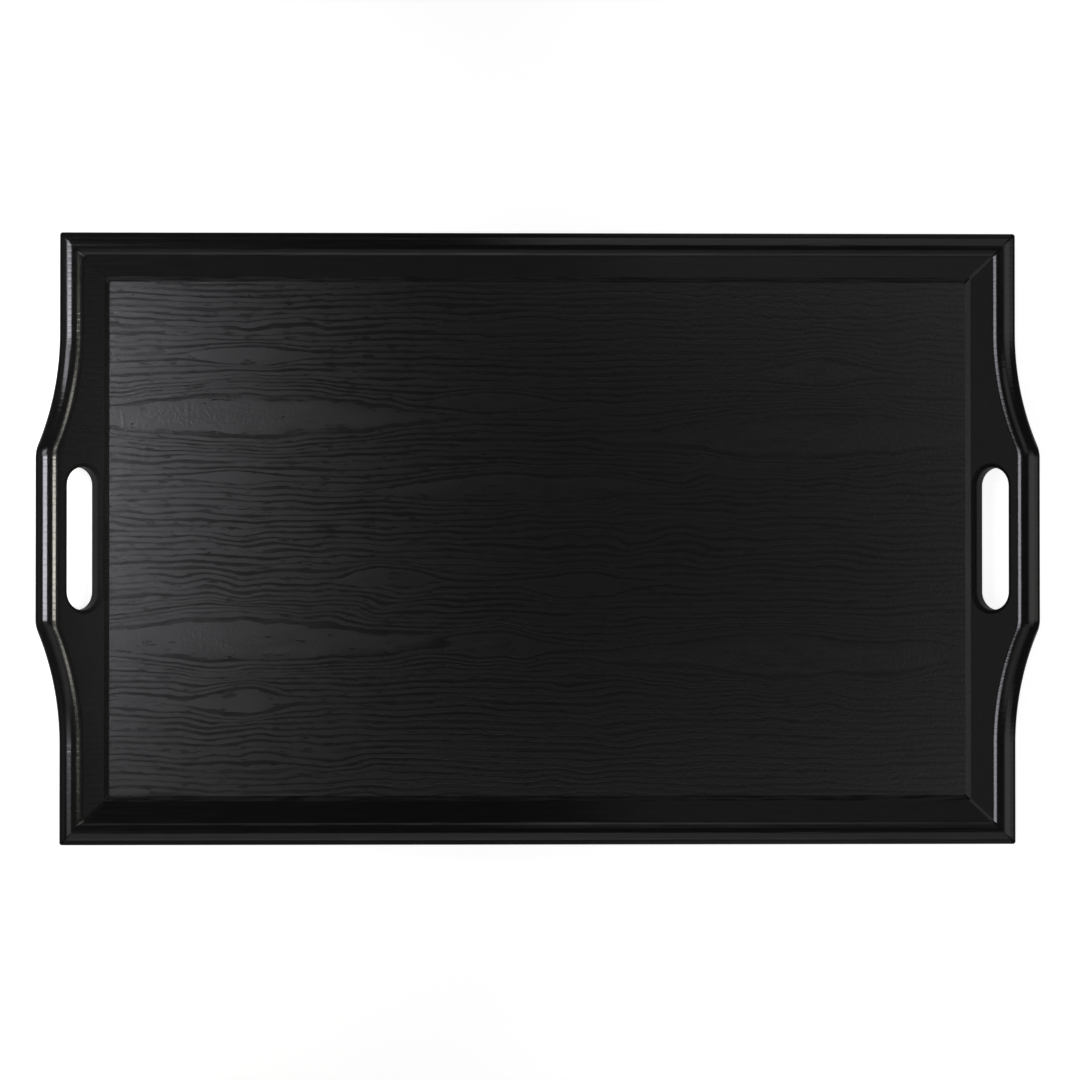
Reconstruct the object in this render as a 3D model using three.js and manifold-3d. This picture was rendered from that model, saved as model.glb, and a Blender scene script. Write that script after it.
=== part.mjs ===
// Room service tray: a veneered panel held in the grooves of four flared rails, mitred at the corners.
// Millimetres, +Z up, X along the length. The origin is on the table, under the middle of the tray.
import * as THREE from "three";
import { mergeVertices } from "three/addons/utils/BufferGeometryUtils.js";
import Module from "manifold-3d";

// Rim, measured over the outside at the corners
const RIM_LENGTH = 635;
const RIM_WIDTH = 406.4;

// Rails: boards that lean outward, level underneath, with a broad round on top
const FLARE_DEGREES = 52;
const RAIL_THICKNESS = 11.5;
const INNER_FACE = 18.8;
const RIM_RADIUS = 12.5;
const NOSE_RADIUS = 1.5;
const LEDGE_HEIGHT = 5;

// Handle rails: the middle stands higher than the corners, and has a hand slot
const HANDLE_FLAT = 107;
const HANDLE_RISE = 18.8;
const SHOULDER_RADIUS = 20;
const SWEEP_RADIUS = 174;
const SLOT_LENGTH = 94.5;
const SLOT_HEIGHT = 24.4;
const SLOT_LIFT = 6.3;
const SLOT_EASE = 3;

// Panel: a plywood core with a veneer on each side, its bare edge a tongue in the rails
const CORE_THICKNESS = 5;
const VENEER_THICKNESS = 0.6;
const TONGUE_REACH = 4;

// Splines: flat loose tongues that key the mitres
const SPLINE_THICKNESS = 2;
const SPLINE_REACH = 6;
const SPLINE_COVER = 2.5;
const SPLINE_LAND = 1.5;

// Pins: brads driven through the long rails into the handle rails, and set below the surface
const PIN_LENGTH = 19;
const PIN_DIAMETER = 1.2;
const PIN_POINT = 2;
const PIN_HEAD_DIAMETER = 2;
const PIN_HEAD_HEIGHT = 0.8;
const PIN_SET = 1;
const PIN_LAND = 2.5;

// Feet: rubber bumpers under the long rails, each nailed on by a tack
const FOOT_HEIGHT = 3;
const FOOT_DIAMETER = 12;
const FOOT_TAPER = 0.8;
const FOOT_EDGE = 0.6;
const FOOT_INSET = 45;
const TACK_SEAT = 1.5;
const TACK_HEAD_DIAMETER = 5;
const TACK_HEAD_HEIGHT = 0.7;
const TACK_DIAMETER = 1.6;
const TACK_POINT = 1.5;
const TACK_COVER = 1.2;

// Room left at the joints
const GLUE_GAP = 0.3;
const GLUE_FILM = 0.1;
const CUT_MARGIN = 0.02;

// Points nearer than this are one point
const WELD = 1e-4;

// Segments of the rounds
const ARC_SEGMENTS = 4;
const SLOT_SEGMENTS = 8;
const EASE_SEGMENTS = 4;
const SHOULDER_STEPS = 4;
const SWEEP_STEPS = 9;
const NAIL_SEGMENTS = 12;
const FOOT_SEGMENTS = 24;

// Lean of the rails. "out" is the distance outward from the panel's edge, "up" the height over the panel.
const flare = THREE.MathUtils.degToRad(FLARE_DEGREES);
const lean = Math.tan(flare);
const upSlope = new THREE.Vector2(Math.sin(flare), Math.cos(flare));
const throughBoard = new THREE.Vector2(Math.cos(flare), -Math.sin(flare));
const levelThickness = RAIL_THICKNESS / Math.cos(flare);

// Heights
const railBottom = FOOT_HEIGHT;
const grooveBottom = railBottom + LEDGE_HEIGHT;
const coreBottom = grooveBottom + GLUE_GAP;
const coreTop = coreBottom + CORE_THICKNESS;
const grooveTop = coreTop + GLUE_GAP;
const veneerBottom = coreTop + GLUE_FILM;
const panelTop = veneerBottom + VENEER_THICKNESS;
const backingBottom = coreBottom - GLUE_FILM - VENEER_THICKNESS;
const splineHeight = grooveTop + SPLINE_LAND + SPLINE_THICKNESS / 2;
const lowerPinHeight = railBottom + LEDGE_HEIGHT / 2;
const upperPinHeight = splineHeight + SPLINE_THICKNESS / 2 + PIN_LAND + PIN_DIAMETER / 2;

// Rounds of the rim: the crown starts at the inner face and runs into the nose over the outer face
const noseRadius = Math.min(NOSE_RADIUS, RAIL_THICKNESS / 2);
const rimRadius = Math.max(RIM_RADIUS, RAIL_THICKNESS / 2);
const noseDepth = RAIL_THICKNESS - noseRadius;
const noseRise = Math.sqrt((RAIL_THICKNESS - 2 * noseRadius) * (2 * rimRadius - RAIL_THICKNESS));
const crownSweep = Math.atan2(noseRise, rimRadius - noseDepth);
const crownCentre = boardPoint(INNER_FACE, rimRadius);
const noseCentre = boardPoint(INNER_FACE + noseRise, noseDepth);

// The field is the flat between the rails, worked out from the rim
const rimReach = noseCentre.x + noseRadius;
const fieldLength = RIM_LENGTH - 2 * rimReach;
const fieldWidth = RIM_WIDTH - 2 * rimReach;

const wasm = await Module();
wasm.setup();

// A point of a rail's section, from its place up the slope and through the board
function boardPoint(slope, depth) {
  return new THREE.Vector2().addScaledVector(upSlope, slope).addScaledVector(throughBoard, depth);
}

// How far outward a rail's inner face lies at a height above the table
function innerFaceAt(height) {
  return (height - panelTop) * lean;
}

// How far outward the middle of a rail's thickness lies at a height above the table
function railMiddleAt(height) {
  return innerFaceAt(height) + levelThickness / 2;
}

function solidOf(geometry) {
  const bare = geometry.clone().deleteAttribute("normal").deleteAttribute("uv");
  const merged = mergeVertices(bare, WELD);
  return new wasm.Manifold(
    new wasm.Mesh({
      numProp: 3,
      vertProperties: new Float32Array(merged.getAttribute("position").array),
      triVerts: new Uint32Array(merged.getIndex().array),
    }),
  );
}

function geometryOf(solid) {
  const mesh = solid.getMesh();
  const geometry = new THREE.BufferGeometry();
  geometry.setAttribute("position", new THREE.BufferAttribute(mesh.vertProperties, 3));
  geometry.setIndex(new THREE.BufferAttribute(mesh.triVerts, 1));
  geometry.computeVertexNormals();
  return geometry;
}

// A lathe turns its profile about Y; this stands the turned piece up on Z
function turnedUpright(profile, segments) {
  return new THREE.LatheGeometry(profile, segments).rotateX(Math.PI / 2);
}

function points(...pairs) {
  return pairs.map(([x, y]) => new THREE.Vector2(x, y));
}

// Section of a rail: level foot, inner face, crown, nose, outer face
function railSection() {
  const footHeight = railBottom - panelTop;
  const faceTop = boardPoint(INNER_FACE, 0);
  const crownStart = Math.PI - flare;
  const noseStart = crownStart - crownSweep;
  const section = new THREE.Shape();
  section.moveTo(innerFaceAt(railBottom), footHeight);
  section.lineTo(faceTop.x, faceTop.y);
  section.absarc(crownCentre.x, crownCentre.y, rimRadius, crownStart, noseStart, true);
  section.absarc(noseCentre.x, noseCentre.y, noseRadius, noseStart, -flare, true);
  section.lineTo(innerFaceAt(railBottom) + levelThickness, footHeight);
  section.closePath();
  return section;
}

// Where a handle rail changes height: two tangent arcs rise from the straight rim to the handle's flat top
function handleStations() {
  const turn = Math.acos(1 - HANDLE_RISE / (SHOULDER_RADIUS + SWEEP_RADIUS));
  const foot = HANDLE_FLAT / 2 + (SHOULDER_RADIUS + SWEEP_RADIUS) * Math.sin(turn);
  const half = [];
  for (let i = 0; i <= SWEEP_STEPS; i += 1) {
    const angle = (turn * i) / SWEEP_STEPS;
    half.push({
      along: foot - SWEEP_RADIUS * Math.sin(angle),
      lift: SWEEP_RADIUS * (1 - Math.cos(angle)),
    });
  }
  for (let i = SHOULDER_STEPS - 1; i >= 0; i -= 1) {
    const angle = (turn * i) / SHOULDER_STEPS;
    half.push({
      along: HANDLE_FLAT / 2 + SHOULDER_RADIUS * Math.sin(angle),
      lift: HANDLE_RISE - SHOULDER_RADIUS * (1 - Math.cos(angle)),
    });
  }
  const mirrored = half.map(({ along, lift }) => ({ along: -along, lift })).reverse();
  return [...half, ...mirrored];
}

// A rail lies along Y on the +X side. Its ends are mitred, and its rim follows the stations between them.
function railGeometry(halfField, halfAlong, stations) {
  const mitreTrim = GLUE_GAP * Math.SQRT1_2;
  const last = stations.length + 1;
  const geometry = new THREE.ExtrudeGeometry(railSection(), {
    depth: last,
    steps: last,
    bevelEnabled: false,
    curveSegments: ARC_SEGMENTS,
  });
  const position = geometry.getAttribute("position");
  for (let i = 0; i < position.count; i += 1) {
    const place = new THREE.Vector2(position.getX(i), position.getY(i));
    const index = Math.round(position.getZ(i));
    const mitre = halfAlong + place.x - mitreTrim;
    const ends = { 0: { along: mitre, lift: 0 }, [last]: { along: -mitre, lift: 0 } };
    const { along, lift } = ends[index] ?? stations[index - 1];
    const onRim = place.dot(upSlope) > INNER_FACE - WELD;
    if (onRim) {
      place.addScaledVector(upSlope, lift);
    }
    position.setXYZ(i, halfField + place.x, along, panelTop + place.y);
  }
  return geometry;
}

// Cutter for the hand slot of the +X rail: a long hole with round ends, flared where it meets the faces
function slotCutter() {
  const radius = SLOT_HEIGHT / 2 + SLOT_EASE;
  const centre = SLOT_LENGTH / 2 - SLOT_HEIGHT / 2;
  const outline = new THREE.Shape();
  outline.absarc(centre, 0, radius, -Math.PI / 2, Math.PI / 2, false);
  outline.absarc(-centre, 0, radius, Math.PI / 2, (3 * Math.PI) / 2, false);
  const geometry = new THREE.ExtrudeGeometry(outline, {
    depth: RAIL_THICKNESS + 2 * CUT_MARGIN - 2 * SLOT_EASE,
    bevelThickness: SLOT_EASE,
    bevelSize: -SLOT_EASE,
    bevelSegments: EASE_SEGMENTS,
    curveSegments: SLOT_SEGMENTS,
  });
  const middle = boardPoint(SLOT_LIFT + SLOT_HEIGHT / 2, SLOT_EASE - CUT_MARGIN);
  const placed = new THREE.Matrix4().makeBasis(
    new THREE.Vector3(0, 1, 0),
    new THREE.Vector3(upSlope.x, 0, upSlope.y),
    new THREE.Vector3(throughBoard.x, 0, throughBoard.y),
  );
  placed.setPosition(fieldLength / 2 + middle.x, 0, panelTop + middle.y);
  return geometry.applyMatrix4(placed);
}

// The core, and with a clearance the groove that takes its tongue
function coreGeometry(clearance) {
  const reach = TONGUE_REACH - GLUE_GAP + clearance;
  return new THREE.BoxGeometry(
    fieldLength + 2 * reach,
    fieldWidth + 2 * reach,
    CORE_THICKNESS + 2 * clearance,
  ).translate(0, 0, (coreBottom + coreTop) / 2);
}

// A veneer fills the field between the rails' leaning faces
function veneerGeometry(bottom) {
  const edge = innerFaceAt(bottom) - GLUE_GAP;
  return new THREE.BoxGeometry(fieldLength + 2 * edge, fieldWidth + 2 * edge, VENEER_THICKNESS);
}

// A spline lies across the mitre, with its outer corners under the rails' outer faces.
// With a clearance it is the pocket in both rails.
function splineGeometry(clearance) {
  const inside = levelThickness - SPLINE_THICKNESS * lean - 2 * SPLINE_COVER;
  const length = inside * Math.SQRT2 - SPLINE_REACH;
  return new THREE.BoxGeometry(
    length + 2 * clearance,
    2 * (SPLINE_REACH + clearance),
    SPLINE_THICKNESS + 2 * clearance,
  ).translate(-SPLINE_REACH / 2, 0, 0);
}

// A pin with its point at the origin and its head on +Y. A clearance makes its hole, open past the head.
function pinGeometry(clearance, beyondHead) {
  const shank = PIN_DIAMETER / 2 + clearance;
  const head = PIN_HEAD_DIAMETER / 2 + clearance;
  const headBottom = PIN_LENGTH - PIN_HEAD_HEIGHT - clearance;
  const top = PIN_LENGTH + beyondHead;
  return new THREE.LatheGeometry(
    points(
      [0, -clearance],
      [shank, PIN_POINT],
      [shank, headBottom],
      [head, headBottom],
      [head, top],
      [0, top],
    ),
    NAIL_SEGMENTS,
  );
}

// A foot is a tapered bumper, bored for its tack
function footGeometry() {
  const top = FOOT_DIAMETER / 2;
  const bottom = top - FOOT_TAPER;
  const bore = TACK_DIAMETER / 2 + GLUE_GAP;
  const counterbore = TACK_HEAD_DIAMETER / 2 + GLUE_GAP;
  return turnedUpright(
    points(
      [counterbore, 0],
      [bottom - FOOT_EDGE, 0],
      [bottom, FOOT_EDGE],
      [top, FOOT_HEIGHT],
      [bore, FOOT_HEIGHT],
      [bore, TACK_SEAT],
      [counterbore, TACK_SEAT],
      [counterbore, 0],
    ),
    FOOT_SEGMENTS,
  );
}

// A tack stops short of the groove. With a clearance it is the hole in the rail.
function tackGeometry(clearance) {
  const shank = TACK_DIAMETER / 2 + clearance;
  const head = TACK_HEAD_DIAMETER / 2;
  const tip = grooveBottom - TACK_COVER + clearance;
  const headBottom = TACK_SEAT - TACK_HEAD_HEIGHT;
  return turnedUpright(
    points(
      [0, headBottom],
      [head, headBottom],
      [head, TACK_SEAT],
      [shank, TACK_SEAT],
      [shank, tip - TACK_POINT],
      [0, tip],
    ),
    NAIL_SEGMENTS,
  );
}

const finishes = {
  lacquer: { color: 0x17171a, roughness: 0.35, metalness: 0 },
  veneer: { color: 0x1c1c1e, roughness: 0.45, metalness: 0 },
  plywood: { color: 0xb8915f, roughness: 0.8, metalness: 0 },
  beech: { color: 0xc79c68, roughness: 0.8, metalness: 0 },
  steel: { color: 0x8d8f92, roughness: 0.4, metalness: 1 },
  rubber: { color: 0x121212, roughness: 0.9, metalness: 0 },
};

const tray = new THREE.Group();

function addPiece(parent, name, geometry, finish) {
  const mesh = new THREE.Mesh(geometry, new THREE.MeshStandardMaterial(finishes[finish]));
  mesh.name = name;
  parent.add(mesh);
  return mesh;
}

const corners = [
  { name: "front_left", x: -1, y: -1 },
  { name: "front_right", x: 1, y: -1 },
  { name: "rear_left", x: -1, y: 1 },
  { name: "rear_right", x: 1, y: 1 },
];

// Panel
const face = addPiece(tray, "face_veneer", veneerGeometry(veneerBottom), "veneer");
face.position.z = veneerBottom + VENEER_THICKNESS / 2;
addPiece(tray, "panel_core", coreGeometry(0), "plywood");
const backing = addPiece(tray, "backing_veneer", veneerGeometry(backingBottom), "veneer");
backing.position.z = backingBottom + VENEER_THICKNESS / 2;

// What is let into the rails is cut out of them, with its clearance
const pockets = [coreGeometry(GLUE_GAP)];

function letIn(mesh, pocketGeometry) {
  tray.updateMatrixWorld(true);
  pockets.push(pocketGeometry.applyMatrix4(mesh.matrixWorld));
}

for (const corner of corners) {
  const spline = addPiece(tray, `spline_${corner.name}`, splineGeometry(0), "beech");
  const splineOut = railMiddleAt(splineHeight);
  spline.position.set(
    corner.x * (fieldLength / 2 + splineOut),
    corner.y * (fieldWidth / 2 + splineOut),
    splineHeight,
  );
  spline.rotation.z = Math.atan2(corner.y, corner.x);
  letIn(spline, splineGeometry(GLUE_GAP));

  const pinHeights = { lower: lowerPinHeight, upper: upperPinHeight };
  for (const [level, height] of Object.entries(pinHeights)) {
    const pin = addPiece(tray, `pin_${corner.name}_${level}`, pinGeometry(0, 0), "steel");
    const surface = innerFaceAt(height - PIN_HEAD_DIAMETER / 2) + levelThickness;
    const headEnd = fieldWidth / 2 + surface - PIN_SET;
    pin.position.set(
      corner.x * (fieldLength / 2 + railMiddleAt(height)),
      corner.y * (headEnd - PIN_LENGTH),
      height,
    );
    pin.rotation.z = corner.y > 0 ? 0 : Math.PI;
    letIn(pin, pinGeometry(GLUE_GAP, RAIL_THICKNESS));
  }

  const stand = new THREE.Group();
  stand.position.set(
    corner.x * (fieldLength / 2 - FOOT_INSET),
    corner.y * (fieldWidth / 2 + railMiddleAt(railBottom)),
    0,
  );
  tray.add(stand);
  addPiece(stand, `foot_${corner.name}`, footGeometry(), "rubber");
  const tack = addPiece(stand, `tack_${corner.name}`, tackGeometry(0), "steel");
  letIn(tack, tackGeometry(GLUE_GAP));
}

// Rails, each turned to its own side of the tray
const sides = [
  { name: "right_handle_rail", turn: 0, handle: true },
  { name: "rear_rail", turn: Math.PI / 2, handle: false },
  { name: "left_handle_rail", turn: Math.PI, handle: true },
  { name: "front_rail", turn: -Math.PI / 2, handle: false },
];

for (const side of sides) {
  const stock = side.handle
    ? railGeometry(fieldLength / 2, fieldWidth / 2, handleStations())
    : railGeometry(fieldWidth / 2, fieldLength / 2, []);
  let rail = solidOf(stock.rotateZ(side.turn));
  if (side.handle) {
    rail = rail.subtract(solidOf(slotCutter().rotateZ(side.turn)));
  }
  for (const pocket of pockets) {
    rail = rail.subtract(solidOf(pocket));
  }
  addPiece(tray, side.name, geometryOf(rail), "lacquer");
}

export default tray;
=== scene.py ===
"""Room service tray in black lacquer on a white table, seen from straight above. Metres, +Z up."""
import math

import bmesh
import bpy
from mathutils import Matrix, Vector


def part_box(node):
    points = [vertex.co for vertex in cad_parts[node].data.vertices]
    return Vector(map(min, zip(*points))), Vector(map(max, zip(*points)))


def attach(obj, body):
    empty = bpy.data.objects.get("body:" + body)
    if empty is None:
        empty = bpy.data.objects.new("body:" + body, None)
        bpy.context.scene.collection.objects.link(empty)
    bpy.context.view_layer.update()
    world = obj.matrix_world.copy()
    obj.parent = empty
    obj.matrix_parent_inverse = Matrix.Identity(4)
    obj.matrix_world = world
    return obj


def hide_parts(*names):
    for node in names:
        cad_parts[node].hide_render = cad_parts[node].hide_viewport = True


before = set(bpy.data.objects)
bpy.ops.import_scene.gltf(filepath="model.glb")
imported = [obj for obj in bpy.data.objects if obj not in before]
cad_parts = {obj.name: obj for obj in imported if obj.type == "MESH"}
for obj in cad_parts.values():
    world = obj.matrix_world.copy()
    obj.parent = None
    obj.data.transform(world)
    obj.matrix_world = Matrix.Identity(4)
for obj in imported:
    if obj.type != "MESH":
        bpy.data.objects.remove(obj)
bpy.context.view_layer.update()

MM = 0.001

# Rails: the section and the handle's outline follow the solids
FLARE = math.radians(52)
RAIL_THICKNESS = 11.5 * MM
INNER_FACE = 18.8 * MM
RIM_RADIUS = 12.5 * MM
NOSE_RADIUS = 1.5 * MM
TONGUE_REACH = 4 * MM
GLUE_GAP = 0.3 * MM
HANDLE_FLAT = 107 * MM
HANDLE_RISE = 18.8 * MM
SHOULDER_RADIUS = 20 * MM
SWEEP_RADIUS = 174 * MM
SLOT_LENGTH = 94.5 * MM
SLOT_HEIGHT = 24.4 * MM
SLOT_LIFT = 6.3 * MM
SLOT_EASE = 3 * MM

# The bare board left above and below the face that is filled round the slot
SLOT_LAND = 2 * MM

# What the finish adds: eased lower edges, a flat and a hairline at each mitre, a strip round the panel
FOOT_EASE = 1.2 * MM
MITRE_FLAT = 1.2 * MM
MITRE_SEAM = 0.12 * MM
QUIRK_WIDTH = 3.4 * MM
QUIRK_LEAN = math.radians(27.5)
QUIRK_ROOT = 0.5 * MM

# Feet and tacks
FOOT_TAPER = 0.8 * MM
FOOT_ROUND = 0.6 * MM
TACK_SEAT = 1.5 * MM
TACK_DOME = 0.7 * MM
TACK_DIAMETER = 1.6 * MM
TACK_POINT = 1.5 * MM

# Fineness of the rounds
CROWN_STEPS = 28
NOSE_STEPS = 10
EASE_STEPS = 8
SWEEP_STEPS = 30
SHOULDER_STEPS = 14
SLOT_STEPS = 36
TURN_STEPS = 64

# Loops at each end of a rail: where its own faces end, the hairline's edge and its bottom
END_RINGS = 3

# Edges sharper than the angle stay sharp, closer points are welded, smaller faces are dropped
SMOOTH_ANGLE = math.radians(22)
WELD = 0.001 * MM
SLIVER = 1e-6 * MM * MM

# Heights read from the solids
panel_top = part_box("face_veneer")[1].z
rail_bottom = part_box("rear_rail")[0].z
groove_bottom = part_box("panel_core")[0].z - GLUE_GAP
groove_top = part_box("panel_core")[1].z + GLUE_GAP

UP_SLOPE = Vector((math.sin(FLARE), math.cos(FLARE)))
THROUGH_BOARD = Vector((math.cos(FLARE), -math.sin(FLARE)))
level_thickness = RAIL_THICKNESS / math.cos(FLARE)


def board_point(slope, depth):
    """A point of a rail's section (outward, upward) from its place up the slope and through the board."""
    return UP_SLOPE * slope + THROUGH_BOARD * depth


def inner_face_at(height):
    """How far outward a rail's inner face lies at a height."""
    return (height - panel_top) * math.tan(FLARE)


# Rounds of the rim: the crown starts at the inner face and runs into the nose over the outer face
nose_depth = RAIL_THICKNESS - NOSE_RADIUS
nose_rise = math.sqrt((RAIL_THICKNESS - 2 * NOSE_RADIUS) * (2 * RIM_RADIUS - RAIL_THICKNESS))
crown_sweep = math.atan2(nose_rise, RIM_RADIUS - nose_depth)
crown_centre = board_point(INNER_FACE, RIM_RADIUS)
nose_centre = board_point(INNER_FACE + nose_rise, nose_depth)
rim_reach = nose_centre.x + NOSE_RADIUS

# Half of the flat field between the rails
field_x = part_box("right_handle_rail")[1].x - HANDLE_RISE * UP_SLOPE.x - rim_reach
field_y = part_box("rear_rail")[1].y - rim_reach


# Outlines

def steps(start, end, count):
    """Evenly spaced values from start to end, with both."""
    return [start + (end - start) * i / count for i in range(count + 1)]


def arc(centre, radius, start, end, count):
    """Points of a circle from one angle to another."""
    return [centre + radius * Vector((math.cos(a), math.sin(a))) for a in steps(start, end, count)]


def eased(corner, arriving, leaving):
    """A corner rounded between the directions in which its two sides leave it."""
    first = corner + arriving * FOOT_EASE
    last = corner + leaving * FOOT_EASE
    return [
        first.lerp(corner, t).lerp(corner.lerp(last, t), t)
        for t in steps(0, 1, EASE_STEPS)
    ]


def rail_section():
    """A rail's outline in three runs: up the inner side, over the rim, down the outer side."""
    foot = rail_bottom - panel_top
    inner_foot = Vector((inner_face_at(rail_bottom), foot))
    outer_foot = inner_foot + Vector((level_thickness, 0))
    outward = Vector((1, 0))
    crown_start = math.pi - FLARE
    nose_start = crown_start - crown_sweep
    inner = eased(inner_foot, outward, UP_SLOPE)
    inner += [
        Vector((inner_face_at(groove_bottom), groove_bottom - panel_top)),
        Vector((TONGUE_REACH, groove_bottom - panel_top)),
        Vector((TONGUE_REACH, groove_top - panel_top)),
        Vector((inner_face_at(groove_top), groove_top - panel_top)),
        board_point(SLOT_LAND, 0),
    ]
    rim = [board_point(INNER_FACE - SLOT_LAND, 0)]
    rim += arc(crown_centre, RIM_RADIUS, crown_start, nose_start, CROWN_STEPS)
    rim += arc(nose_centre, NOSE_RADIUS, nose_start, -FLARE, NOSE_STEPS)[1:]
    rim += [board_point(INNER_FACE - SLOT_LAND, RAIL_THICKNESS)]
    outer = [board_point(SLOT_LAND, RAIL_THICKNESS)]
    outer += eased(outer_foot, UP_SLOPE, -outward)
    return inner, rim, outer


def shrunk(outline, distance):
    """The outline with each point moved inward."""
    moved = []
    for i, point in enumerate(outline):
        along = (outline[(i + 1) % len(outline)] - outline[i - 1]).normalized()
        moved.append(point + distance * Vector((along.y, -along.x)))
    return moved


def handle_stations():
    """Places along a handle rail and how far its rim rises there: two tangent arcs on each side."""
    both = SHOULDER_RADIUS + SWEEP_RADIUS
    turn = math.acos(1 - HANDLE_RISE / both)
    foot = HANDLE_FLAT / 2 + both * math.sin(turn)
    half = [
        (foot - SWEEP_RADIUS * math.sin(a), SWEEP_RADIUS * (1 - math.cos(a)))
        for a in steps(0, turn, SWEEP_STEPS)
    ]
    half += [
        (
            HANDLE_FLAT / 2 + SHOULDER_RADIUS * math.sin(a),
            HANDLE_RISE - SHOULDER_RADIUS * (1 - math.cos(a)),
        )
        for a in steps(turn, 0, SHOULDER_STEPS)[1:]
    ]
    return half + [(-along, lift) for along, lift in reversed(half)]


# Meshes

def finished(name, bm, slot, materials, *nodes):
    """Turns a bmesh into a smooth piece that rides on the tray and stands for the named solids."""
    bmesh.ops.recalc_face_normals(bm, faces=bm.faces)
    mesh = bpy.data.meshes.new(name)
    bm.to_mesh(mesh)
    bm.free()
    mesh.shade_smooth()
    mesh.set_sharp_from_angle(angle=SMOOTH_ANGLE)
    for material in materials:
        mesh.materials.append(material)
    piece = bpy.data.objects.new(name, mesh)
    bpy.context.scene.collection.objects.link(piece)
    weighted = piece.modifiers.new("flat_faces_stay_flat", "WEIGHTED_NORMAL")
    weighted.keep_sharp = True
    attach(piece, "root")
    if nodes:
        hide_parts(*nodes)


def loft(bm, rings, skip=(), closed=False):
    """Joins rings of points by quads. Closed also joins the last ring to the first."""
    verts = [[bm.verts.new(p) for p in ring] for ring in rings]
    count = len(rings[0])
    pairs = list(zip(verts, verts[1:] + verts[:1]))
    if not closed:
        pairs.pop()
    for k, (near, far) in enumerate(pairs):
        for i in range(count):
            j = (i + 1) % count
            if (k, i) not in skip:
                bm.faces.new((near[i], near[j], far[j], far[i]))
    return verts


def rail_rings(half_field, half_along, stations):
    """Loops of a rail that lies along Y on the +X side. A flat runs down the corner at both mitres."""
    inner, rim, outer = rail_section()
    outline = inner + rim + outer

    def end_ring(points, share, side):
        """A loop on the flat: share is 0 where the rail's own faces end and 1 on the mitre."""
        inward = MITRE_FLAT * share / 2
        short = MITRE_FLAT - inward
        return [
            Vector((half_field + p.x - inward, side * (half_along + p.x - short), panel_top + p.y))
            for p in points
        ]

    seam_start = 1 - MITRE_SEAM * math.sqrt(2) / MITRE_FLAT
    seam = shrunk(outline, MITRE_SEAM)
    near_end, far_end = [
        [end_ring(outline, 0, side), end_ring(outline, seam_start, side), end_ring(seam, 1, side)]
        for side in (1, -1)
    ]
    middle = []
    for along, lift in stations:
        raised = inner + [p + UP_SLOPE * lift for p in rim] + outer
        middle.append([Vector((half_field + p.x, along, panel_top + p.y)) for p in raised])
    return near_end[::-1] + middle + far_end


def rail_bmesh(half_field, half_along, stations, skip=()):
    """A closed rail, and its loops of vertices."""
    bm = bmesh.new()
    verts = loft(bm, rail_rings(half_field, half_along, stations), skip)
    bm.faces.new(verts[0])
    bm.faces.new(verts[-1])
    return bm, verts


def slot_rings():
    """Loops of the hand slot, from the inner face to the outer one, rounded over at both."""
    half = SLOT_HEIGHT / 2
    centre = SLOT_LENGTH / 2 - half
    quarter_turn = steps(0, math.pi / 2, EASE_STEPS)
    walls = [(SLOT_EASE * (1 - math.sin(a)), SLOT_EASE * (1 - math.cos(a))) for a in quarter_turn]
    walls += [(grow, RAIL_THICKNESS - depth) for grow, depth in reversed(walls)]
    ends = [(centre, a) for a in steps(-math.pi / 2, math.pi / 2, SLOT_STEPS)]
    ends += [(-centre, a + math.pi) for _, a in ends]
    rings = []
    for grow, depth in walls:
        ring = []
        for middle, angle in ends:
            radius = half + grow
            place = board_point(SLOT_LIFT + half + radius * math.sin(angle), depth)
            along = middle + radius * math.cos(angle)
            ring.append(Vector((field_x + place.x, along, panel_top + place.y)))
        rings.append(ring)
    return rings


def loop_edges(bm, verts):
    """The edges of a loop of vertices, made where they are missing."""
    pairs = zip(verts, verts[1:] + verts[:1])
    return [bm.edges.get(pair) or bm.edges.new(pair) for pair in pairs]


def handle_rail_bmesh():
    """A handle rail with its hand slot: the two board faces are left open there and filled round it.

    The slot's wall takes the piece's second material.
    """
    stations = handle_stations()
    inner, rim, _ = rail_section()
    flat_start = END_RINGS + len(stations) // 2 - 1
    inner_low = len(inner) - 1
    outer_high = len(inner) + len(rim) - 1
    skip = {(flat_start, inner_low), (flat_start, outer_high)}
    bm, verts = rail_bmesh(field_x, field_y, stations, skip)
    board_faces = len(bm.faces)
    slot = loft(bm, slot_rings())
    for face in list(bm.faces)[board_faces:]:
        face.material_index = 1
    for low, loop, outward in ((inner_low, slot[0], -1), (outer_high, slot[-1], 1)):
        near, far = verts[flat_start], verts[flat_start + 1]
        window = [near[low], near[low + 1], far[low + 1], far[low]]
        normal = Vector((THROUGH_BOARD.x, 0, THROUGH_BOARD.y)) * outward
        edges = loop_edges(bm, window) + loop_edges(bm, loop)
        bmesh.ops.triangle_fill(bm, use_beauty=True, edges=edges, normal=normal)
    return bm


def turned(bm, angle):
    """The same mesh turned about the tray's upright axis."""
    bmesh.ops.rotate(bm, verts=bm.verts, cent=(0, 0, 0), matrix=Matrix.Rotation(angle, 3, "Z"))
    return bm


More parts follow.
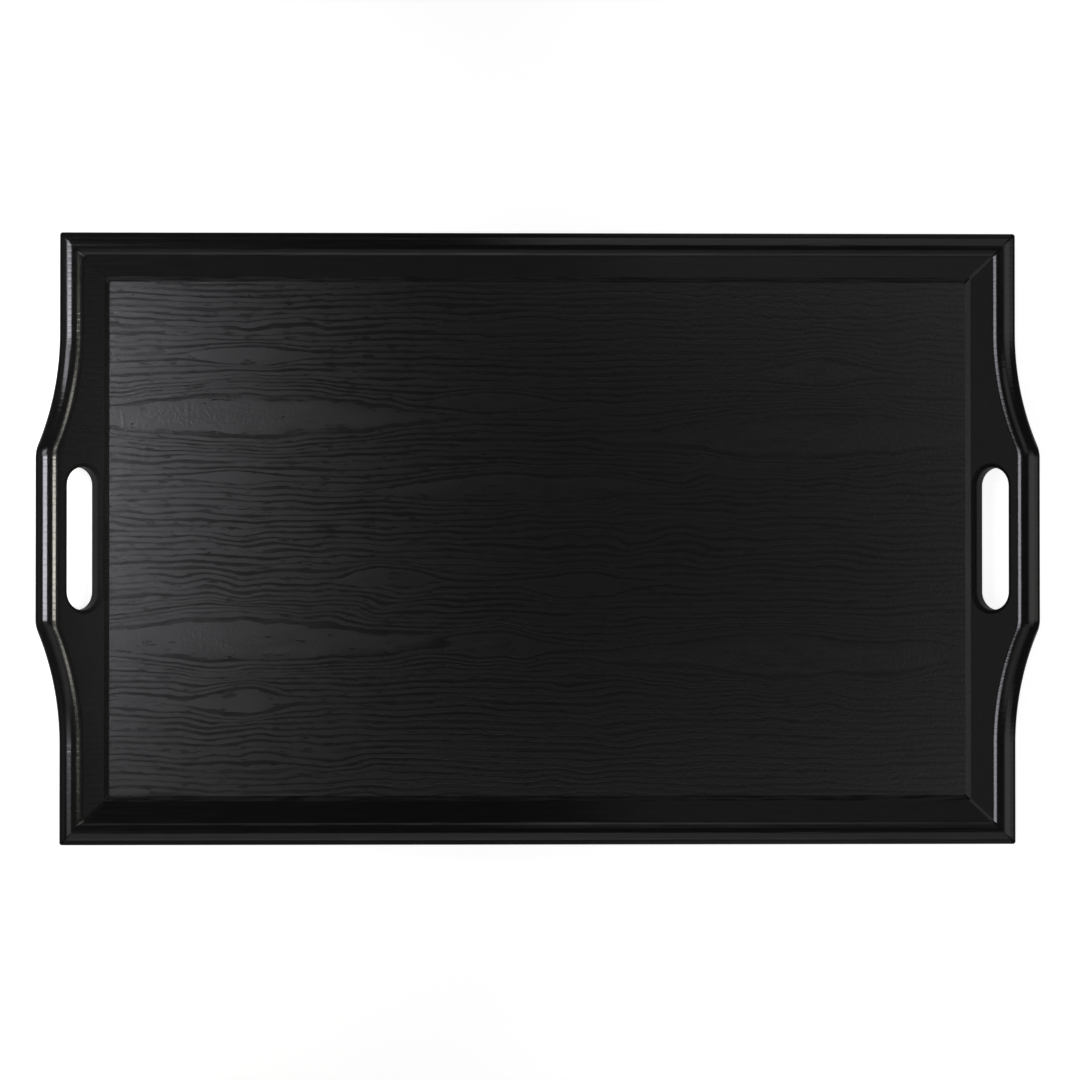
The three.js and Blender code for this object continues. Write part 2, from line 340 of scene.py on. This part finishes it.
def quirk_bmesh():
    """The strip along the joint of the panel and the rails, with its root in the joint.

    Along the long rails it takes the piece's second material, a paler copy that paints light on the strip
    there.
    """
    rise = QUIRK_WIDTH * math.tan(QUIRK_LEAN)
    top = Vector((inner_face_at(panel_top + rise), rise))
    root = Vector((inner_face_at(panel_top - QUIRK_ROOT), -QUIRK_ROOT))
    rings = []
    for point in (top - Vector((QUIRK_WIDTH, rise)), top, root):
        reach = point.x - MITRE_FLAT
        ring = []
        for k, (sx, sy) in enumerate(((1, 1), (-1, 1), (-1, -1), (1, -1))):
            middle = Vector((sx * (field_x + reach), sy * (field_y + reach)))
            start = k * math.pi / 2
            corner = arc(middle, MITRE_FLAT, start, start + math.pi / 2, 1)
            ring += [Vector((p.x, p.y, panel_top + point.y)) for p in corner]
        rings.append(ring)
    bm = bmesh.new()
    loft(bm, rings, closed=True)
    bm.normal_update()
    for face in bm.faces:
        if abs(face.normal.y) > 2 * abs(face.normal.x):
            face.material_index = 1
    return bm


def lathe_bmesh(profile, x, y):
    """Turns a closed profile of (radius, height) points about an upright axis."""
    bm = bmesh.new()
    rings = []
    for angle in steps(0, 2 * math.pi, TURN_STEPS)[:-1]:
        across = math.cos(angle)
        up = math.sin(angle)
        rings.append([Vector((x + r * across, y + r * up, z)) for r, z in profile])
    loft(bm, rings, closed=True)
    bmesh.ops.remove_doubles(bm, verts=bm.verts, dist=WELD)
    slivers = [f for f in bm.faces if f.calc_area() < SLIVER]
    bmesh.ops.delete(bm, geom=slivers, context="FACES_ONLY")
    return bm


def foot_profile(radius, height, head, bore):
    """A rubber bumper: narrower below, rounded at its lower edge, recessed for the tack's head."""
    low = radius - FOOT_TAPER
    edge = arc(Vector((low - FOOT_ROUND, FOOT_ROUND)), FOOT_ROUND, -math.pi / 2, 0, EASE_STEPS)
    profile = [(head, FOOT_ROUND / 2), (head + FOOT_ROUND / 2, 0)]
    profile += [(p.x, p.y) for p in edge]
    profile += [(radius, height), (bore, height), (bore, TACK_SEAT), (head, TACK_SEAT)]
    return profile


def tack_profile(head, tip):
    """A tack: a low domed head below, a plain shank and a point above."""
    dome = [
        (head * math.sin(a), TACK_SEAT - TACK_DOME * math.cos(a))
        for a in steps(0, math.pi / 2, EASE_STEPS)
    ]
    shank = TACK_DIAMETER / 2
    return dome + [(shank, TACK_SEAT), (shank, tip - TACK_POINT), (0, tip)]


# Materials

class Shader:
    """A Principled material and short ways to add nodes to it."""

    def __init__(self, name, colour, roughness, **settings):
        self.material = bpy.data.materials.new(name)
        self.material.use_nodes = True
        self.tree = self.material.node_tree
        self.surface = self.tree.nodes["Principled BSDF"]
        self.surface.inputs["Base Color"].default_value = (*colour, 1)
        self.surface.inputs["Roughness"].default_value = roughness
        for setting, value in settings.items():
            socket = setting.replace("_", " ").title().replace("Ior", "IOR")
            self.surface.inputs[socket].default_value = value

    def put(self, value, socket):
        """Links a node's output to a socket, or sets the socket to a plain value."""
        if isinstance(value, bpy.types.NodeSocket):
            self.tree.links.new(value, socket)
        else:
            socket.default_value = value

    def add(self, kind, inputs=(), **settings):
        node = self.tree.nodes.new(kind)
        for name, value in settings.items():
            setattr(node, name, value)
        for key, value in dict(inputs).items():
            self.put(value, node.inputs[key])
        return node

    def math(self, operation, *values, clamp=False):
        node = self.add("ShaderNodeMath", enumerate(values), operation=operation, use_clamp=clamp)
        return node.outputs[0]

    def place(self, scale, offset=(0, 0, 0)):
        """The point on the surface in metres, stretched and shifted."""
        point = self.add("ShaderNodeTexCoord").outputs["Object"]
        node = self.add("ShaderNodeMapping", {"Vector": point, "Scale": scale, "Location": offset})
        return node.outputs[0]

    def noise_at(self, vector, detail=2.0):
        """Noise from 0 to 1 at a point."""
        node = self.add("ShaderNodeTexNoise", {"Vector": vector, "Scale": 1.0, "Detail": detail})
        return node.outputs[0]

    def noise(self, scale, offset=(0, 0, 0), detail=2.0):
        """Noise from 0 to 1 on the surface, whose cells are 1/scale metres long on each axis."""
        return self.noise_at(self.place(scale, offset), detail)

    def remap(self, value, low, high, to_low, to_high):
        """Eases from one value to another as the input goes from low to high."""
        node = self.add("ShaderNodeMapRange", interpolation_type="SMOOTHSTEP")
        for key, item in enumerate((value, low, high, to_low, to_high)):
            self.put(item, node.inputs[key])
        return node.outputs[0]

    def blend(self, factor, first, second):
        """Makes the surface's colour a mix of two."""
        node = self.add("ShaderNodeMix", data_type="RGBA")
        self.put(factor, node.inputs["Factor"])
        self.put((*first, 1), node.inputs[6])
        self.put((*second, 1), node.inputs[7])
        self.put(node.outputs[2], self.surface.inputs["Base Color"])

    def rough(self, value):
        self.put(value, self.surface.inputs["Roughness"])

    def bump(self, height, distance):
        node = self.add("ShaderNodeBump", {"Height": height, "Distance": distance, "Strength": 1.0})
        self.put(node.outputs[0], self.surface.inputs["Normal"])


# Plain islands in the veneer's figure: middle (x, y), half length and half height, in millimetres
ISLANDS = [
    (-194, 82, 97, 13),
    (-190, -70, 96, 14),
    (181, 70, 104, 13),
    (170, -75, 105, 13),
    (-192, 119, 30, 6),
    (186, 108, 32, 7),
    (-198, -107, 24, 8),
    (-10, 33, 70, 9),
    (-203, 40, 20, 4),
    (-96, -30, 24, 8),
    (27, -28, 30, 8),
    (-31, 90, 34, 7),
    (-31, -71, 32, 9),
]
ISLAND_CORE = 0.68
ISLAND_EDGE = 4.0

# Rings of the figure, and how far they stray from straight
RING_PITCH = 4.4 * MM
RING_SWAY = 16 * MM
CALM_RIPPLE = 4 * MM
LIVELY_RIPPLE = 15 * MM
RING_SPECKLE = 0.6

# What the grain is made of besides the rings, and the painted shade that makes it fainter towards +X,
# where the glare falls off
FINE_LINES = 2.3
FINE_SHARE = 0.3
FIBRE_SHARE = 0.2
FLECK_SHARE = 0.35
PAINTED_SHADE_START = -120 * MM
PAINTED_SHADE_END = 140 * MM
GRAIN_IN_PAINTED_SHADE = 0.62

# Finish of the veneer: the grain is darker, smoother and lower than the plain wood
LACQUER_BLACK = (0.006, 0.006, 0.0065)
PLAIN_BLACK = (0.0074, 0.0074, 0.0079)
GRAIN_BLACK = (0.0068, 0.0068, 0.0068)
VENEER_SPECULAR = 0.75
PLAIN_ROUGHNESS = 0.37
GRAIN_POLISH = 0.18
GRAIN_DEPTH = 0.27
VENEER_RELIEF = 0.2 * MM

# Finish of the rails
DARK_STREAK = (0.004, 0.004, 0.0045)
PORE_SHARE = 0.6
PEEL_SHARE = 0.12
HAZE = 0.06
RAIL_RELIEF = 0.04 * MM


def ring_phase(s, along, breadth, offset):
    """Which ring a point of the veneer lies on. The middle of a dark line is a whole number."""
    sway = s.math("MULTIPLY_ADD", s.noise((6, 14, 1), offset), RING_SWAY, -RING_SWAY / 2)
    flurry = s.remap(s.noise((7, 16, 1), (8, 3, 0)), 0.45, 0.65, CALM_RIPPLE, LIVELY_RIPPLE)
    ripple = s.math("SUBTRACT", s.noise((24, 38, 1), offset, 1), 0.5)
    across = s.math("ADD", breadth, s.math("MULTIPLY_ADD", ripple, flurry, sway))
    warped = s.add("ShaderNodeCombineXYZ", {0: along, 1: across}).outputs[0]
    rings = across
    for x, y, half_length, half_height in ISLANDS:
        length = half_length * MM / ISLAND_CORE
        height = half_height * MM / ISLAND_CORE
        ring_middle = (math.floor(y * MM / RING_PITCH) + 0.5) * RING_PITCH
        near = s.add(
            "ShaderNodeVectorMath",
            {
                0: warped,
                1: (1 / length, 1 / height, 0),
                2: (-x * MM / length, -ring_middle / height, 0),
            },
            operation="MULTIPLY_ADD",
        ).outputs[0]
        forward, lift, _ = s.add("ShaderNodeSeparateXYZ", {0: near}).outputs
        lens = s.math("MULTIPLY_ADD", forward, forward, s.math("ABSOLUTE", lift))
        share = s.math("POWER", math.exp(-1), s.math("POWER", lens, ISLAND_EDGE))
        rings = s.math("MULTIPLY_ADD", s.math("MULTIPLY", lift, share), -height, rings)
    speckle = s.noise((45, 150, 1), offset, 2)
    stray = s.math("MULTIPLY_ADD", speckle, RING_SPECKLE, -RING_SPECKLE / 2)
    return s.math("MULTIPLY_ADD", rings, 1 / RING_PITCH, stray)


def figured_veneer(name, offset):
    """Black lacquer on crown-cut veneer: rings run along the length and part round plain islands."""
    s = Shader(name, LACQUER_BLACK, PLAIN_ROUGHNESS, specular_ior_level=VENEER_SPECULAR)
    point = s.add("ShaderNodeTexCoord").outputs["Object"]
    along, breadth, _ = s.add("ShaderNodeSeparateXYZ", {0: point}).outputs
    phase = ring_phase(s, along, breadth, offset)

    # Each ring has its own strength, which changes slowly along it
    ring = s.math("ROUND", phase)
    own_place = s.add(
        "ShaderNodeCombineXYZ",
        {0: s.math("MULTIPLY", along, 12), 1: s.math("MULTIPLY", ring, 0.61)},
    ).outputs[0]
    strength = s.remap(s.noise_at(own_place, 1), 0.3, 0.7, 0.3, 0.9)
    strong = s.remap(s.math("PINGPONG", phase, 0.5), 0.0, 0.4, 1.0, 0.0)
    line = s.math("MULTIPLY", strong, strength)

    # Finer lines between the rings, fibres along the length and dark flecks
    between = s.math("PINGPONG", s.math("MULTIPLY", phase, FINE_LINES), 0.5)
    fine = s.remap(between, 0.0, 0.5, 1.0, 0.0)
    fibre = s.remap(s.noise((60, 620, 1), offset, 3), 0.35, 0.75, 0.0, 1.0)
    fleck = s.remap(s.noise((75, 330, 1), (2, 4, 0), 2), 0.58, 0.68, 0.0, 1.0)
    thread = s.math("MULTIPLY_ADD", fine, FINE_SHARE, s.math("MULTIPLY", fibre, FIBRE_SHARE))
    detail = s.math("MULTIPLY_ADD", fleck, FLECK_SHARE, thread)
    figure = s.math("ADD", line, detail, clamp=True)
    # Painted shade: the grain's colour, polish and relief fade towards +X, standing in for the light
    # falling off there
    grain = s.math("MULTIPLY", figure, s.remap(along, PAINTED_SHADE_START, PAINTED_SHADE_END, 1.0, GRAIN_IN_PAINTED_SHADE))

    # A fine feathering stays on the plain wood only
    feather = s.math("SUBTRACT", s.noise((400, 420, 1), offset, 3), 0.5)
    plain = s.math("SUBTRACT", 1.0, grain)
    relief = s.math("MULTIPLY_ADD", feather, plain, s.math("MULTIPLY", grain, -GRAIN_DEPTH))
    s.blend(grain, PLAIN_BLACK, GRAIN_BLACK)
    s.rough(s.math("MULTIPLY_ADD", grain, -GRAIN_POLISH, PLAIN_ROUGHNESS))
    s.bump(relief, VENEER_RELIEF)
    return s.material


def lacquer(name, grain, roughness, specular=0.5, pale=0.009):
    """Satin black lacquer over wood, whose grain shows faintly along the length. Pale is the lighter
    streak colour; the joint strips raise it as painted light.
    """
    s = Shader(name, LACQUER_BLACK, roughness, specular_ior_level=specular)
    sway = s.math("MULTIPLY_ADD", s.noise((9, 30, 30)), 9 * MM, -4.5 * MM)
    point = s.add("ShaderNodeTexCoord").outputs["Object"]
    across = s.math("ADD", s.add("ShaderNodeSeparateXYZ", {0: point}).outputs[1], sway)
    pore = s.math("PINGPONG", s.math("MULTIPLY", across, 1 / RING_PITCH), 0.5)
    line = s.remap(pore, 0.0, 0.2, 1.0, 0.0)
    fibre = s.noise((45, 900, 900), (1, 2, 3), 3)
    peel = s.noise((320, 320, 320), (5, 5, 5), 1)
    pores = s.math("MULTIPLY_ADD", line, PORE_SHARE, fibre)
    height = s.math("MULTIPLY_ADD", pores, -grain, s.math("MULTIPLY", peel, PEEL_SHARE))
    haze = s.noise((18, 18, 18), (4, 1, 2), 3)
    streak = s.remap(fibre, 0.35, 0.65, 0.0, 1.0)
    s.blend(streak, DARK_STREAK, (pale, pale, pale))
    s.rough(s.math("MULTIPLY_ADD", haze, HAZE, roughness))
    s.bump(height, RAIL_RELIEF)
    return s.material


def plywood(name):
    """Bare plywood: plies through its thickness and grain along its length."""
    s = Shader(name, (0.48, 0.29, 0.12), 0.7)
    ply = s.remap(s.noise((4, 4, 900), (0, 0, 2), 0), 0.4, 0.6, 0.0, 1.0)
    grain = s.noise((25, 400, 400), (1, 0, 0), 3)
    shade = s.math("MULTIPLY_ADD", grain, 0.5, s.math("MULTIPLY", ply, 0.5))
    s.blend(shade, (0.5, 0.31, 0.14), (0.3, 0.17, 0.07))
    s.bump(grain, 0.1 * MM)
    return s.material


def beech(name):
    """Bare beech with short dark flecks."""
    s = Shader(name, (0.57, 0.34, 0.14), 0.6)
    fleck = s.remap(s.noise((140, 900, 900), (2, 0, 0), 2), 0.52, 0.66, 0.0, 1.0)
    s.blend(fleck, (0.58, 0.36, 0.17), (0.4, 0.22, 0.09))
    s.bump(fleck, 0.05 * MM)
    return s.material


def steel(name):
    """Drawn wire, with streaks along its length."""
    s = Shader(name, (0.55, 0.56, 0.57), 0.3, metallic=1.0)
    drawn = s.noise((2200, 2200, 60), (0, 3, 0), 2)
    s.blend(drawn, (0.6, 0.61, 0.62), (0.42, 0.43, 0.44))
    s.rough(s.remap(drawn, 0.3, 0.7, 0.22, 0.42))
    return s.material


def rubber(name):
    """Matte moulded rubber with a little dust."""
    s = Shader(name, (0.015, 0.015, 0.015), 0.8)
    grain = s.noise((1600, 1600, 1600), (0, 0, 1), 3)
    dust = s.noise((240, 240, 240), (6, 0, 1), 2)
    s.blend(s.remap(dust, 0.5, 0.75, 0.0, 1.0), (0.013, 0.013, 0.013), (0.035, 0.034, 0.032))
    s.rough(s.remap(grain, 0.3, 0.7, 0.68, 0.88))
    s.bump(grain, 0.06 * MM)
    return s.material


# Pieces

rail_lacquer = lacquer("rail_lacquer", grain=0.6, roughness=0.11)
slot_lacquer = lacquer("slot_lacquer", grain=0.6, roughness=0.6, specular=0.15)
# Painted light: the joint strips take a paler colour than the rails, standing in for light that barely
# reaches them, and paler still along the long rails
joint_strip_painted_light = lacquer("joint_strip_painted_light", grain=0.05, roughness=0.2, specular=0.07, pale=0.015)
long_joint_strip_painted_light = lacquer("long_joint_strip_painted_light", grain=0.05, roughness=0.3, specular=0.15, pale=0.03)
rubber_black = rubber("foot_rubber")
tack_steel = steel("tack_steel")

rail_finish = [rail_lacquer, slot_lacquer]

finished("handle_rail_right", handle_rail_bmesh(), "black_lacquer", rail_finish, "right_handle_rail")
left_bmesh = turned(handle_rail_bmesh(), math.pi)
finished("handle_rail_left", left_bmesh, "black_lacquer", rail_finish, "left_handle_rail")
for side, angle in (("rear", math.pi / 2), ("front", -math.pi / 2)):
    bm, _ = rail_bmesh(field_y, field_x, [])
    finished(f"rail_{side}", turned(bm, angle), "black_lacquer", [rail_lacquer], f"{side}_rail")
finished("joint_quirk", quirk_bmesh(), "black_lacquer", [joint_strip_painted_light, long_joint_strip_painted_light])

for corner in ("front_left", "front_right", "rear_left", "rear_right"):
    low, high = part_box(f"foot_{corner}")
    middle = (low + high) / 2
    tack_low, tack_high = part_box(f"tack_{corner}")
    head = (tack_high.x - tack_low.x) / 2
    bore = TACK_DIAMETER / 2 + GLUE_GAP
    profile = foot_profile((high.x - low.x) / 2, high.z, head + GLUE_GAP, bore)
    foot = lathe_bmesh(profile, middle.x, middle.y)
    finished(f"rubber_foot_{corner}", foot, "rubber", [rubber_black], f"foot_{corner}")
    tack = lathe_bmesh(tack_profile(head, tack_high.z), middle.x, middle.y)
    finished(f"foot_tack_{corner}", tack, "steel", [tack_steel], f"tack_{corner}")

finishes = {
    "face_veneer": figured_veneer("face_veneer_black", (0, 0, 0)),
    "backing_veneer": figured_veneer("backing_veneer_black", (5, 9, 0)),
    "panel_core": plywood("core_plywood"),
    "spline": beech("spline_beech"),
    "pin": steel("pin_steel"),
}
for node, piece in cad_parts.items():
    for start, material in finishes.items():
        if node.startswith(start):
            piece.data.materials.clear()
            piece.data.materials.append(material)


# Stage, camera and light

FLOOR_SIZE = 60
FLOOR_WHITE = (0.8, 0.8, 0.8)
FLOOR_ROUGHNESS = 0.9
FLOOR_GLOW = 0.85
WORLD_GREY = 0.055
VIEW_HEIGHT = 2.7
VIEW_WIDTH = 0.72
VIEW_FROM = Vector((-0.06, -0.03, panel_top + VIEW_HEIGHT))
VIEW_AT = Vector((0.0011, -0.0008, panel_top))
VIEW_REACH = 100
SENSOR = 36


def aimed(obj, place, target):
    """Puts a camera or light in place, looking at the target with +Y upward in its picture."""
    back = (place - target).normalized()
    right = Vector((0, 1, 0)).cross(back).normalized()
    obj.location = place
    obj.rotation_euler = Matrix((right, back.cross(right), back)).transposed().to_euler()
    bpy.context.scene.collection.objects.link(obj)
    return obj


floor_mesh = bpy.data.meshes.new("floor")
floor_bm = bmesh.new()
bmesh.ops.create_grid(floor_bm, x_segments=1, y_segments=1, size=FLOOR_SIZE / 2)
floor_bm.to_mesh(floor_mesh)
floor_bm.free()
white = Shader(
    "white_table",
    FLOOR_WHITE,
    FLOOR_ROUGHNESS,
    emission_color=(1, 1, 1, 1),
    emission_strength=FLOOR_GLOW,
)
floor_mesh.materials.append(white.material)
floor = bpy.data.objects.new("floor", floor_mesh)
bpy.context.scene.collection.objects.link(floor)

camera = bpy.data.cameras.new("camera")
camera.sensor_width = SENSOR
camera.lens = SENSOR * VIEW_HEIGHT / VIEW_WIDTH
camera.clip_end = VIEW_REACH
bpy.context.scene.camera = aimed(bpy.data.objects.new("camera", camera), VIEW_FROM, VIEW_AT)


def softbox(name, place, target, width, length, radiance, colour, spread):
    """A soft light of a given radiance along its axis, with a grid that spreads it over some degrees."""
    light = bpy.data.lights.new(name, "AREA")
    light.shape = "RECTANGLE"
    light.size = width
    light.size_y = length
    light.color = colour
    light.spread = math.radians(spread)
    half = light.spread / 2
    light.energy = radiance * math.pi * width * length * (1 - half / math.tan(half))
    aimed(bpy.data.objects.new(name, light), place, target)


def fan(name, aim, slants, reach, width, length, radiance, colour, spread):
    """Softboxes side by side over the aim, slanted from upright by degrees toward +X and +Y."""
    target = Vector(aim)
    for x, y in slants:
        way = Vector((math.tan(math.radians(x)), math.tan(math.radians(y)), 1)).normalized()
        place = target + reach * way
        softbox(f"{name}_{x}_{y}", place, target, width, length, radiance, colour, spread)


COOL = (0.93, 0.92, 1.0)
WARM = (1.0, 0.97, 0.86)
PLAIN = (1.0, 0.99, 0.97)
KICKER_SIDES = [(x, y) for x in (28, 34, 40) for y in (-30, -15, 15, 30)]

# Each fan has its aim, slants, reach, width, length, radiance, colour and spread.

# Key: the sheen on the panel's left end and the line on the left rim
fan("key", (-0.35, 0.1, 0), [(-13, 0), (-21, 0), (-29, 0)], 1.7, 0.24, 0.45, 23.4, COOL, 17)
fan("key_tail", (-0.35, 0.1, 0), [(-19, 16), (-27, 16), (-35, 16)], 1.7, 0.24, 0.4, 6.4, COOL, 28)
fan("key_foot", (-0.35, -0.17, 0), [(-13, -4), (-21, -4), (-29, -4)], 1.7, 0.24, 0.3, 1.2, COOL, 20)
# The line on the inner edge of the right rim
fan("strip", (0.33, 0.06, 0), [(-40, 0), (-48, 0)], 1.6, 0.22, 1.2, 10.0, COOL, 24)
# The grey of the right rim and of the panel's right end
fan("card", (0.33, 0, 0), [(13, 0)], 1.1, 0.2, 1.4, 0.52, PLAIN, 20)
fan("side_card", (0.33, 0, 0), [(23, 0), (37, 0)], 1.1, 0.28, 1.4, 1.1, PLAIN, 44)
fan("low_card", (0.33, 0, 0), [(50, 0), (64, 0)], 1.1, 0.27, 1.0, 1.2, PLAIN, 20)
# The warm line on the inner edge of the left rim
fan("kicker", (-0.33, 0.025, 0), [(28, 0), (34, 0), (40, 0)], 2.3, 0.24, 0.24, 30.0, WARM, 12)
fan("kicker_side", (-0.33, 0, 0), KICKER_SIDES, 2.3, 0.24, 0.6, 9.0, WARM, 10)
# The rims of the long rails
fan("front_card", (0, -0.2, 0), [(0, -14), (0, -29), (0, -44)], 1.2, 1.8, 0.32, 0.5, PLAIN, 60)
fan("rear_card", (0.3, 0.2, 0), [(0, 14), (0, 29), (0, 44)], 1.2, 0.6, 0.32, 0.7, PLAIN, 40)
# The strips at the panel's joint along the long rails
fan("front_strip", (0, 0.19, 0), [(0, -50)], 1.6, 1.6, 0.3, 0.7, PLAIN, 20)
fan("rear_strip", (0, -0.19, 0), [(0, 50)], 1.6, 1.6, 0.3, 0.6, PLAIN, 20)
# The flats of the right mitres
fan("mitre_rear", (0.3, 0.18, 0), [(-38, -41)], 1.6, 0.35, 0.35, 1.0, PLAIN, 16)
fan("mitre_front", (0.3, -0.18, 0), [(-38, 42)], 1.6, 0.35, 0.35, 1.0, PLAIN, 16)
# The inner faces of the rails
fan("low_fill", (0.3, 0, 0), [(12, -70), (12, 70)], 1.6, 0.6, 0.5, 0.15, PLAIN, 60)
fan("front_fill", (0, 0.2, 0), [(0, -71)], 1.6, 1.6, 0.4, 0.11, PLAIN, 60)
fan("left_fill", (0.3, 0, 0), [(-68, 0)], 1.6, 0.4, 1.6, 0.2, PLAIN, 60)

world = bpy.data.worlds.new("world")
world.use_nodes = True
world.node_tree.nodes["Background"].inputs[0].default_value = (WORLD_GREY, WORLD_GREY, WORLD_GREY, 1)
bpy.context.scene.world = world
bpy.context.scene.view_settings.view_transform = "Standard"
